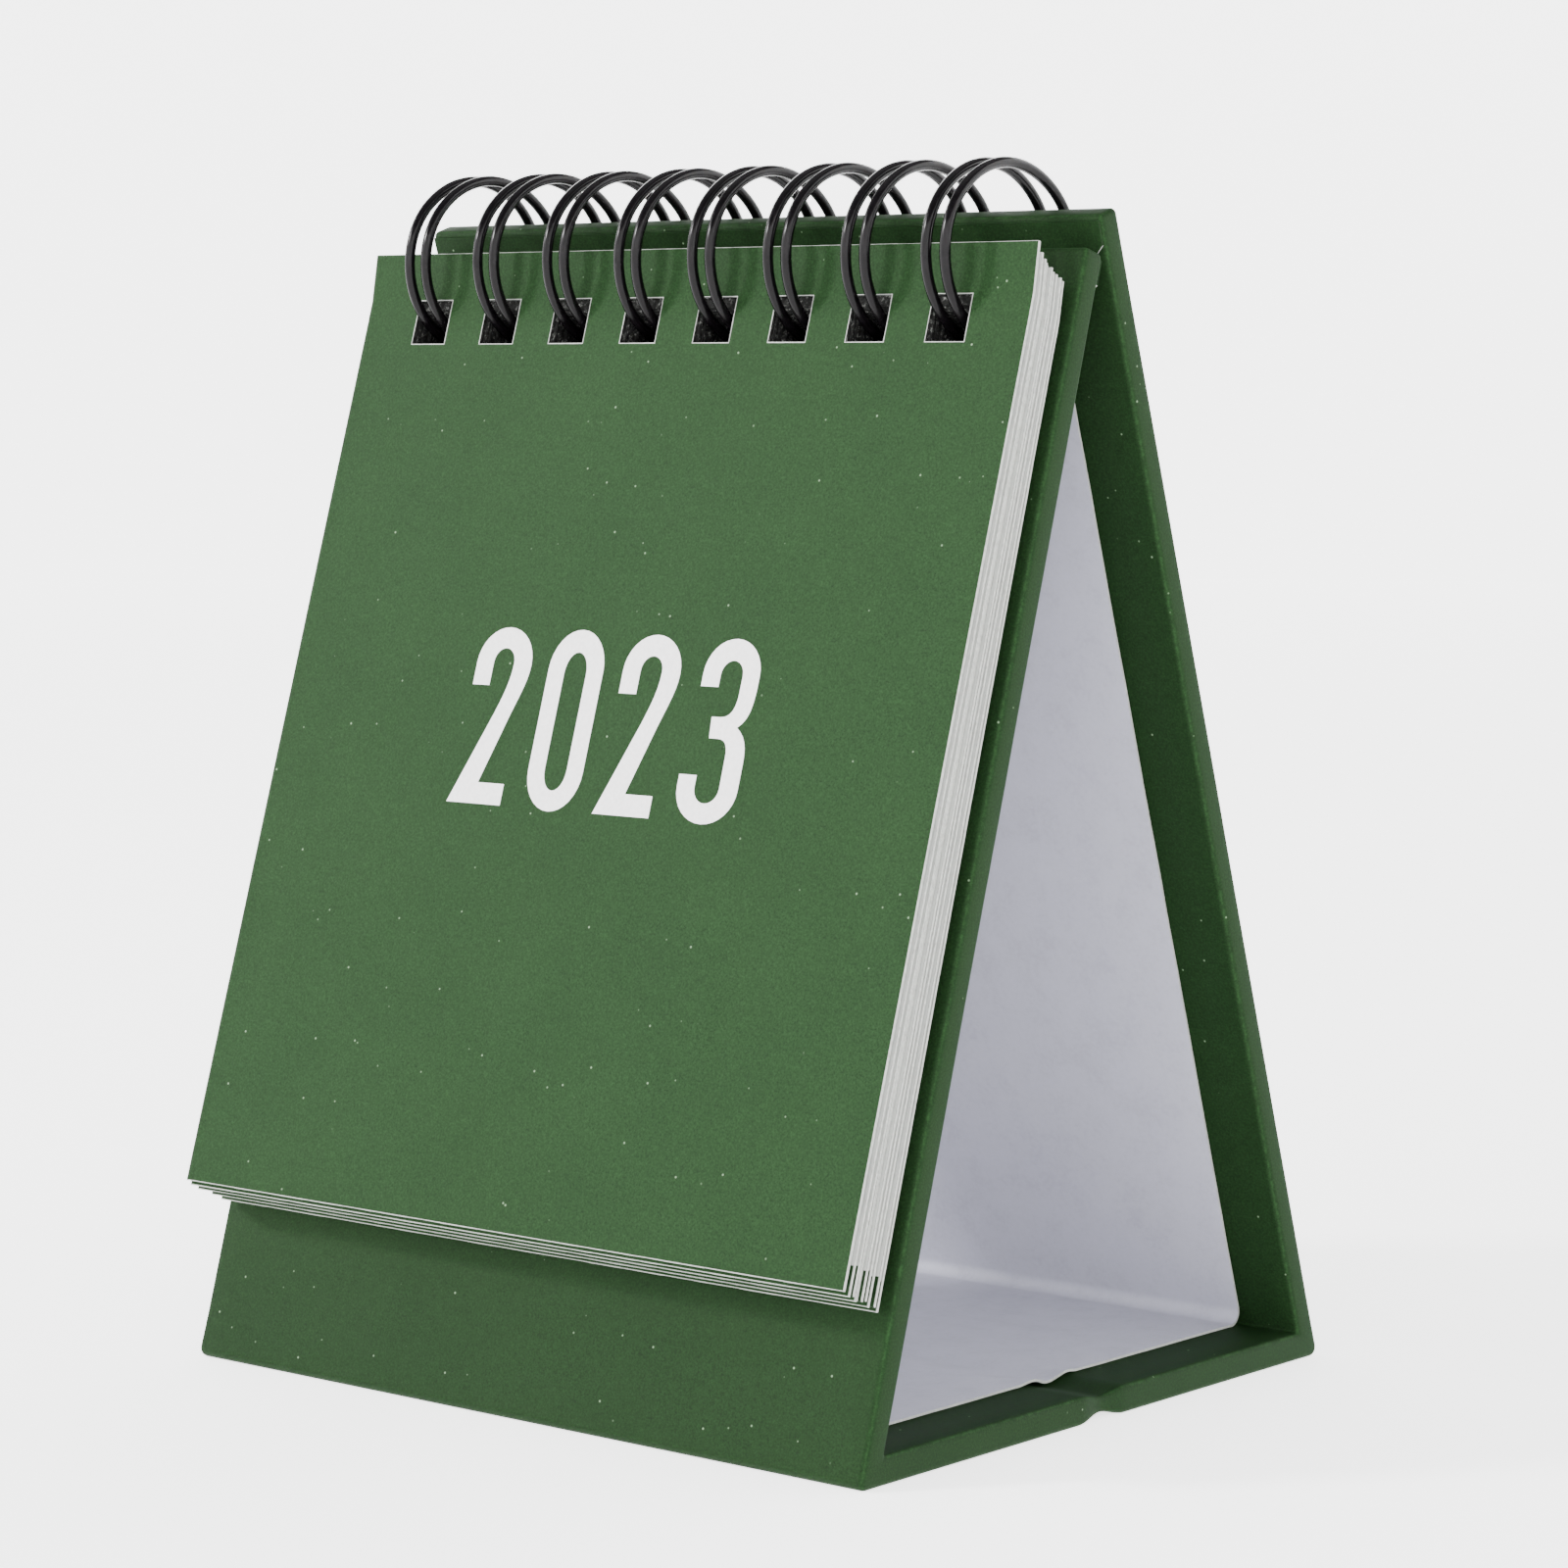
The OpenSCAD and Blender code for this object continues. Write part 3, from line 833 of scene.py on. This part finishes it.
class Leaf:
    """One leaf as it hangs at rest, counted from the front."""

    def __init__(self, number):
        self.number, self.page = number, PAGES[number]
        node = f"{self.page}_leaf"
        self.face, cover = Face(node, -1), Face("cover_leaf", -1)
        low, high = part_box(node)
        self.x, self.width = (low.x + high.x) / 2, high.x - low.x
        packet = sum(number >= first for first in PACKETS[1:])
        self.leads = number in PACKETS
        foot = PACKET_FEET[packet] * MM - LEAF_RISE * (number - PACKETS[packet])
        self.height = (self.face.head - cover.foot).dot(cover.up) + foot
        last = len(PAGES) - 1
        behind = (Face(f"{PAGES[last]}_leaf", -1).foot - cover.foot).dot(cover.inward)
        place = behind - (last - number) * LEAF_PITCH - PACKET_AIR[packet] * MM
        self.settle = place - (self.face.foot - cover.foot).dot(cover.inward)
        self.lean = FAN * (1 - number / last)

    def point(self, x, down, depth):
        """A place on the leaf: x across, down from its top edge and depth behind its printed face."""
        height = (self.face.head - LOOP_CENTRE).dot(self.face.up) - down
        curl_start, curl_run, flat_share, warp = -5.5 * MM, 5 * MM, 0.55, 0.04 * MM
        # above the holes the card curls forward, and below them the block fans out towards its foot
        bend = sizes().margin_bend * ease((height - curl_start) / curl_run)
        fan = self.lean * down / self.height
        # one lower corner of each inner leaf is warped by its own small amount
        share = ease((down / self.height - flat_share) / (1 - flat_share))
        curl = warp * share * math.sin(1.9 * self.number) * (x / self.width + 0.5)
        inward = depth - bend - fan + self.settle + curl * (self.number > 0)
        flat = self.face.head - self.face.up * down + self.face.inward * inward
        return Vector((self.x + x, flat.x, flat.y))


def around(values, half_gap, rim):
    """Lines on both sides of each hole: the rim's outer line and the hole's edge."""
    lines = []
    for value in values:
        lines += [value - half_gap - rim, value - half_gap, value + half_gap, value + half_gap + rim]
    return lines


def leaf_card(leaf):
    """One leaf: a thin sheet with punched holes, worn cut rims, painted shade round the holes and along
    the foot of the inner leaves, and a slightly ragged outline.
    """
    s = sizes()
    rng = random.Random(leaf.number)
    half_width, side = leaf.width / 2, s.hole / 2
    # behind the cover, a 0.9 mm rim round each hole takes the near-black painted shade
    rim, hole_shade_rim = s.cut_rim, s.cut_rim if leaf.number == 0 else 0.9 * MM
    holes = hole_places()
    columns = [-half_width, -half_width + rim] + around(holes, side, hole_shade_rim)
    columns = sorted(columns + [(a + b) / 2 for a, b in zip(holes, holes[1:])]
                     + [half_width - rim, half_width])
    rows = [0, rim / 2, s.leaf_hole_drop - side - hole_shade_rim, s.leaf_hole_drop - side, s.leaf_hole_drop,
            s.leaf_hole_drop + side, s.leaf_hole_drop + side + hole_shade_rim]
    rows += spaced(rows[-1] + 1.5 * MM, leaf.height - rim, 2.4 * MM) + [leaf.height]
    # the knife leaves every edge point a little off, but never outside the leaf's width
    shake = [[(rng.uniform(-1, 1), rng.uniform(-1, 1)) for _ in rows] for _ in columns]
    shake[0] = [(abs(a), b) for a, b in shake[0]]
    shake[-1] = [(-abs(a), b) for a, b in shake[-1]]

    def in_hole(i, j):
        """Whether a cell is empty: inside a hole or outside the leaf."""
        if not (0 <= i < len(columns) - 1 and 0 <= j < len(rows) - 1):
            return True
        x, down = (columns[i] + columns[i + 1]) / 2, (rows[j] + rows[j + 1]) / 2
        return abs(down - s.leaf_hole_drop) < side and any(abs(x - h) < side for h in holes)

    def front_index(i, j):
        """Which material a cell of the front face takes: print, cut rim, a rim of painted shade round the
        holes, or the printed green that is painted shade along the foot.
        """
        x, down = (columns[i] + columns[i + 1]) / 2, (rows[j] + rows[j + 1]) / 2
        by_hole = abs(down - s.leaf_hole_drop) < side + hole_shade_rim
        if by_hole and any(abs(x - h) < side + hole_shade_rim for h in holes):
            return 2 if leaf.number == 0 else 3
        # painted shade: along the foot of the inner leaves the front takes the printed green, standing in
        # for the shade cast by the leaves in front
        if j == len(rows) - 2:
            return 2 if leaf.leads else 4
        if j == 0 or i in (0, len(columns) - 2):
            return 2
        return 4 if leaf.number > 0 and down > leaf.height - 3 * MM else 0

    def place(i, j, depth):
        ragged = 0
        touching = [in_hole(i - a, j - b) for a in (0, 1) for b in (0, 1)]
        if any(touching) and not all(touching):
            ragged = 0.02 * MM
        x = columns[i] + ragged * shake[i][j][0]
        down = rows[j] + ragged * shake[i][j][1]
        return leaf.point(x, max(down, 0), depth)

    vertices, faces, indices, index = [], [], [], {}

    def vertex(i, j, back):
        if (i, j, back) not in index:
            index[i, j, back] = len(vertices)
            vertices.append(place(i, j, s.card if back else 0))
        return index[i, j, back]

    for i in range(len(columns) - 1):
        for j in range(len(rows) - 1):
            if in_hole(i, j):
                continue
            loop = [(i, j), (i + 1, j), (i + 1, j + 1), (i, j + 1)]
            faces.append([vertex(a, b, 0) for a, b in loop])
            indices.append(front_index(i, j))
            faces.append([vertex(a, b, 1) for a, b in reversed(loop)])
            indices.append(1)
            for (a, b), (c, d), beside in zip(loop, loop[1:] + loop[:1],
                                              ((i, j - 1), (i + 1, j), (i, j + 1), (i - 1, j))):
                if in_hole(*beside):
                    faces.append([vertex(c, d, 0), vertex(a, b, 0), vertex(a, b, 1), vertex(c, d, 1)])
                    outside = beside[0] in (-1, len(columns) - 1) or beside[1] in (-1, len(rows) - 1)
                    # the walls of the holes take the near-black painted shade
                    indices.append(2 if outside else 3)
    front = leaf_paper() if leaf.number == 0 else white_card()
    # slot 4, the printed green, also serves as painted shade along the inner leaves' foot
    piece = new_piece(f"{leaf.page}_card", vertices, faces,
                      [front, white_card(), card_edge(), hole_edge(), leaf_paper()], indices)
    tidy_mesh(piece, 0.0005 * MM)
    smooth(piece, 40)
    return piece


# ---------------------------------------------------------------- print

def bezier(start, first, second, end, steps=6):
    """Points on a cubic curve after its start."""
    spots = []
    for i in range(1, steps + 1):
        t = i / steps
        weights = ((1 - t) ** 3, 3 * t * (1 - t) ** 2, 3 * t * t * (1 - t), t ** 3)
        spots.append(tuple(sum(w * p[k] for w, p in zip(weights, (start, first, second, end)))
                           for k in (0, 1)))
    return spots


def oval(centre_x, centre_y, wide, tall, start, end, steps=12):
    """Points on an elliptical arc, angles in degrees."""
    return [(centre_x + wide * x, centre_y + tall * y) for x, y in arc(0, 0, 1, start, end, steps)]


FIGURE_BODY = 15.8  # mm from the foot to the head of the drawn figures


def figure_two():
    """A condensed bold 2, in millimetres from its left foot."""
    outline = [(0.3, 10.55)] + oval(3.54, 12.55, 3.24, 3.25, 180, 0, 16)
    outline += bezier((6.78, 12.55), (6.78, 11.2), (6.25, 10.1), (5.45, 8))
    outline += [(3.28, 1.9), (6.4, 1.9), (6.4, 0), (0, 0), (3.55, 8.1)]
    outline += bezier((3.55, 8.1), (4.25, 9.8), (4.72, 11.1), (4.72, 12.6))
    outline += oval(3.5, 12.6, 1.22, 1.33, 0, 180, 12)[1:] + [(2.28, 10.55)]
    return [outline]


def figure_nought():
    """A condensed bold 0: a tall ring with round ends."""
    outer = oval(3.17, 12.3, 3.17, 3.6, 180, 0, 16) + oval(3.17, 3.45, 3.17, 3.6, 0, -180, 16)
    inner = oval(3.17, 12.0, 1.28, 1.9, 0, 180, 12) + oval(3.17, 3.57, 1.28, 1.9, 180, 360, 12)
    return [outer, inner]


def figure_three():
    """A condensed bold 3 with a short middle bar and a sharp waist."""
    outline = [(0.44, 11.6)] + oval(3.54, 12.7, 3.1, 3.1, 180, 0, 16)
    outline += bezier((6.64, 12.7), (6.66, 9.9), (6.35, 8.95), (5.27, 8.24))
    outline += bezier((5.27, 8.24), (6.3, 7.6), (6.66, 6.7), (6.66, 5.2))
    outline += oval(3.33, 2.95, 3.33, 3.07, 0, -180, 16) + [(0, 4), (1.92, 4)]
    outline += oval(3.28, 3, 1.36, 1.36, 180, 360, 12)
    outline += bezier((4.64, 5.4), (4.64, 6.75), (4.25, 7.2), (3.4, 7.2))
    outline += [(2.45, 7.2), (2.3, 9.05), (3.3, 9.05)]
    outline += bezier((3.3, 9.05), (4.35, 9.05), (4.8, 9.9), (4.8, 11.2))
    outline += oval(3.59, 12.65, 1.21, 1.27, 0, 180, 12) + [(2.38, 11.6)]
    return [outline]


FIGURES = {"0": figure_nought, "2": figure_two, "3": figure_three}


def filled(outlines, name):
    """A flat mesh object that fills 2D outlines, holes included."""
    curve = bpy.data.curves.new(name, "CURVE")
    curve.dimensions, curve.fill_mode = "2D", "BOTH"
    for outline in outlines:
        spline = curve.splines.new("POLY")
        spline.points.add(len(outline) - 1)
        spline.use_cyclic_u = True
        for spot, (x, y) in zip(spline.points, outline):
            spot.co = (x, y, 0, 1)
    shape = bpy.data.objects.new(name, curve)
    bpy.context.scene.collection.objects.link(shape)
    return as_mesh(shape)


def lay_on_leaf(piece, leaf, lift):
    """Lays a flat drawing (x across, y down as negative) on a leaf as a thin film of ink."""
    mesh = bmesh.new()
    mesh.from_mesh(piece.data)
    bmesh.ops.remove_doubles(mesh, verts=mesh.verts, dist=0.001 * MM)
    faces = list(mesh.faces)
    film = bmesh.ops.extrude_face_region(mesh, geom=faces)["geom"]
    raised = {v for v in film if isinstance(v, bmesh.types.BMVert)}
    for v in mesh.verts:
        v.co = leaf.point(v.co.x, -v.co.y, -lift if v in raised else 0)
    bmesh.ops.recalc_face_normals(mesh, faces=mesh.faces)
    mesh.to_mesh(piece.data)
    mesh.free()


def year_numerals(leaf):
    """The year on the cover leaf, one mesh of four figures."""
    s = sizes()
    scale = s.numeral_height / FIGURE_BODY
    lefts = [-15.65, -6.75, 1.53, 10.41]  # mm from the leaf's middle to each figure
    outlines = []
    for left, figure in zip(lefts, str(YEAR)):
        for outline in FIGURES[figure]():
            outlines.append([((x + left) * scale, y * scale - s.numeral_foot) for x, y in outline])
    piece = filled(outlines, "year_numerals")
    lay_on_leaf(piece, leaf, 0.02 * MM)
    piece.data.materials.clear()
    ink = finish("numerals", printed_ink, "white_offset_ink", colours().numerals, 0.5)
    piece.data.materials.append(ink)
    return piece


DRAWN = {}  # the outline of every number used so far


def figure_drawing(number, height):
    """The filled outline of a small number, centred on x = 0 and standing on y = 0."""
    if number not in DRAWN:
        text = bpy.data.curves.new("figures", "FONT")
        text.body, text.size, text.align_x, text.resolution_u = str(number), 1.4, "CENTER", 2
        shape = bpy.data.objects.new("figures", text)
        bpy.context.scene.collection.objects.link(shape)
        piece = as_mesh(shape)
        DRAWN[number] = ([v.co.to_2d() for v in piece.data.vertices],
                         [tuple(p.vertices) for p in piece.data.polygons])
        bpy.data.objects.remove(piece)
    points, faces = DRAWN[number]
    return [p * height for p in points], faces


def month_block(month, left, top, width, figure, week_drop):
    """One month as a drawing: its number, a rule under it and a grid of day numbers."""
    points, faces = [], []

    def draw(shape, faces_of, x, y):
        first = len(points)
        points.extend((p[0] + x, p[1] + y, 0) for p in shape)
        faces.extend(tuple(first + i for i in face) for face in faces_of)

    step = width / 7
    draw(*figure_drawing(month, 2.2 * figure), left + step / 2, top - 2.2 * figure)
    rule = top - 3 * figure
    bar = [(left, rule), (left + width, rule), (left + width, rule - 0.12 * figure),
           (left, rule - 0.12 * figure)]
    draw(bar, [(0, 1, 2, 3)], 0, 0)
    for week, days in enumerate(calendar.Calendar(6).monthdayscalendar(YEAR, month)):
        for column, day in enumerate(days):
            if day:
                x = left + (column + 0.5) * step
                draw(*figure_drawing(day, figure), x, rule - figure - week_drop * (week + 0.6))
    return points, faces


def month_print(leaf):
    """The print on a month leaf, or twelve small months on the overview leaf."""
    if leaf.page == "overview":
        blocks = [month_block(m + 1, (-33 + 23.5 * (m % 3)) * MM, (-12 - 18 * (m // 3)) * MM,
                              19 * MM, 1.1 * MM, 1.75 * MM) for m in range(12)]
    else:
        blocks = [month_block(MONTHS.index(leaf.page) + 1, -31 * MM, -13 * MM, 62 * MM, 2.8 * MM,
                              8.4 * MM)]
    vertices, faces = [], []
    for points, block_faces in blocks:
        first = len(vertices)
        vertices += points
        faces += [tuple(first + i for i in face) for face in block_faces]
    ink = finish("ink", printed_ink, "dark_offset_ink", colours().ink, 0.55)
    piece = new_piece(f"{leaf.page}_print", vertices, faces, [ink])
    lay_on_leaf(piece, leaf, 0.012 * MM)
    return piece


# ---------------------------------------------------------------- operators

class CALENDAR_OT_easel(bpy.types.Operator):
    """Wraps both halves of the easel in green cover paper, with flaps at the top corners"""
    bl_idname = "calendar.add_easel"
    bl_label = "Add wrapped easel"

    def execute(self, context):
        for half in HALVES:
            wrap = wrap_paper(half)
            punch(wrap, half)
            smooth(wrap, 50)
            half.bend_between(wrap, sizes().fold_run)
            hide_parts(f"{half.panel_nodes}_cover", f"{half.end}_fold_cover",
                        f"base_{half.end}_cover", "middle_fold_cover")
            flap = top_flap(half)
            punch(flap, half)
            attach(flap, half.panel)
        return {"FINISHED"}


class CALENDAR_OT_boards(bpy.types.Operator):
    """Puts the four greyboard cores inside the wrapped easel"""
    bl_idname = "calendar.add_boards"
    bl_label = "Add greyboard cores"

    def execute(self, context):
        s = sizes()
        for half in HALVES:
            panel = board_core(f"{half.end}_panel_core", half,
                               (("panel", s.fold_run), ("panel", half.length - s.paper)))
            punch(panel, half)
            base = board_core(f"{half.end}_base_core", half,
                              (("base", s.fold_run), ("base", half.board_reach)))
            for core, body, node in ((panel, half.panel, f"{half.panel_nodes}_board"),
                                     (base, half.base, f"base_{half.end}_board")):
                smooth(core, 50)
                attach(core, body)
                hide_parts(node)
        return {"FINISHED"}


class CALENDAR_OT_liners(bpy.types.Operator):
    """Lines the inside of the easel with white paper"""
    bl_idname = "calendar.add_liners"
    bl_label = "Add liners"

    def execute(self, context):
        for half in HALVES:
            liner = liner_sheet(half)
            smooth(liner, 45)
            half.bend_between(liner, 8 * MM)
            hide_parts(f"{half.panel_nodes}_liner", f"{half.end}_fold_liner",
                        f"base_{half.end}_liner", "middle_fold_liner")
        return {"FINISHED"}


class CALENDAR_OT_wire(bpy.types.Operator):
    """Winds the black twin-loop wire"""
    bl_idname = "calendar.add_wire"
    bl_label = "Add binding wire"

    def execute(self, context):
        wire = binding_wire()
        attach(wire, "wire")
        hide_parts("binding_wire")
        return {"FINISHED"}


class CALENDAR_OT_leaves(bpy.types.Operator):
    """Hangs the cover leaf, the overview leaf and the twelve month leaves on the wire"""
    bl_idname = "calendar.add_leaves"
    bl_label = "Add leaves"

    def execute(self, context):
        for number, page in enumerate(PAGES):
            leaf = Leaf(number)
            card = leaf_card(leaf)
            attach(card, f"{page}_page")
            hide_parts(f"{page}_leaf")
        return {"FINISHED"}


class CALENDAR_OT_print(bpy.types.Operator):
    """Prints the year on the cover leaf and the day numbers on the leaves behind it"""
    bl_idname = "calendar.add_print"
    bl_label = "Add print"

    def execute(self, context):
        for number, page in enumerate(PAGES):
            leaf = Leaf(number)
            ink = year_numerals(leaf) if page == "cover" else month_print(leaf)
            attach(ink, f"{page}_page")
        return {"FINISHED"}


def area_light(name, place, target, size, power):
    """A soft square light aimed at a point."""
    data = bpy.data.lights.new(name, "AREA")
    data.size, data.energy = size, power
    light = bpy.data.objects.new(name, data)
    bpy.context.scene.collection.objects.link(light)
    light.location = place
    light.rotation_euler = (Vector(place) - Vector(target)).to_track_quat("Z", "Y").to_euler()


class CALENDAR_OT_stage(bpy.types.Operator):
    """Sets up the pale floor, the studio lights and the camera"""
    bl_idname = "calendar.add_stage"
    bl_label = "Add stage"

    def execute(self, context):
        # a round floor that sweeps up into a low wall, in metres
        flat, sweep, wall, turns = 1.5, 0.6, 1.6, 64
        quarter = [math.radians(9 * i) for i in range(11)]
        profile = [(flat + sweep * math.sin(a), sweep - sweep * math.cos(a)) for a in quarter]
        profile.append((flat + sweep, wall))
        vertices = [(r * math.cos(math.tau * t / turns), r * math.sin(math.tau * t / turns), z)
                    for r, z in profile for t in range(turns)]
        faces = [(k * turns + t, k * turns + (t + 1) % turns,
                  (k + 1) * turns + (t + 1) % turns, (k + 1) * turns + t)
                 for k in range(len(profile) - 1) for t in range(turns)]
        faces.append(tuple(range(turns)))
        floor = new_piece("studio_floor", vertices, faces, [studio_floor()])
        smooth(floor, 60)

        low, high = CAD_BOX
        middle = (low + high) / 2
        area_light("key_light", (-0.75, -0.85, 0.75), middle, 0.16, 20)
        area_light("fill_light", (1.0, -0.7, 0.55), middle, 0.9, 1)
        area_light("top_light", (0.1, 0.3, 1.3), middle, 1.0, 2)

        world = bpy.data.worlds.new("studio_air")
        context.scene.world = world
        world.use_nodes = True
        world.node_tree.nodes["Background"].inputs["Color"].default_value = (1, 1, 1, 1)
        world.node_tree.nodes["Background"].inputs["Strength"].default_value = 0.4

        data = bpy.data.cameras.new("camera")
        data.lens, data.sensor_width, data.clip_start = 102.7, 36, 0.01
        camera = bpy.data.objects.new("camera", data)
        context.scene.collection.objects.link(camera)
        target = Vector((0.28, 4.21, 51.53)) * MM
        azimuth, elevation, distance = math.radians(40.0), math.radians(5.31), 400.6 * MM
        back = Vector((math.sin(azimuth) * math.cos(elevation), -math.cos(azimuth) * math.cos(elevation),
                       math.sin(elevation)))
        camera.location = target + back * distance
        camera.rotation_euler = back.to_track_quat("Z", "Y").to_euler()
        context.scene.camera = camera
        return {"FINISHED"}


class CALENDAR_PT_panel(bpy.types.Panel):
    """Lists the calendar's operators, sizes and colours"""
    bl_label = "Flip desk calendar"
    bl_idname = "CALENDAR_PT_panel"
    bl_space_type = "VIEW_3D"
    bl_region_type = "UI"
    bl_category = "Calendar"

    def draw(self, context):
        for operator in OPERATORS:
            self.layout.operator(operator.bl_idname)
        for group in (context.scene.calendar_sizes, context.scene.calendar_colours):
            box = self.layout.box()
            for name in group.bl_rna.properties.keys():
                if name not in ("rna_type", "name"):
                    box.prop(group, name)


OPERATORS = [CALENDAR_OT_easel, CALENDAR_OT_boards, CALENDAR_OT_liners, CALENDAR_OT_wire,
             CALENDAR_OT_leaves, CALENDAR_OT_print, CALENDAR_OT_stage]
CLASSES = [CalendarSizes, CalendarColours] + OPERATORS + [CALENDAR_PT_panel]


def register():
    for cls in CLASSES:
        bpy.utils.register_class(cls)
    bpy.types.Scene.calendar_sizes = bpy.props.PointerProperty(type=CalendarSizes)
    bpy.types.Scene.calendar_colours = bpy.props.PointerProperty(type=CalendarColours)


def unregister():
    del bpy.types.Scene.calendar_colours
    del bpy.types.Scene.calendar_sizes
    for cls in reversed(CLASSES):
        bpy.utils.unregister_class(cls)


def main():
    register()
    bpy.ops.calendar.add_easel()
    bpy.ops.calendar.add_boards()
    bpy.ops.calendar.add_liners()
    bpy.ops.calendar.add_wire()
    bpy.ops.calendar.add_leaves()
    bpy.ops.calendar.add_print()
    bpy.ops.calendar.add_stage()


if __name__ == "__main__":
    main()
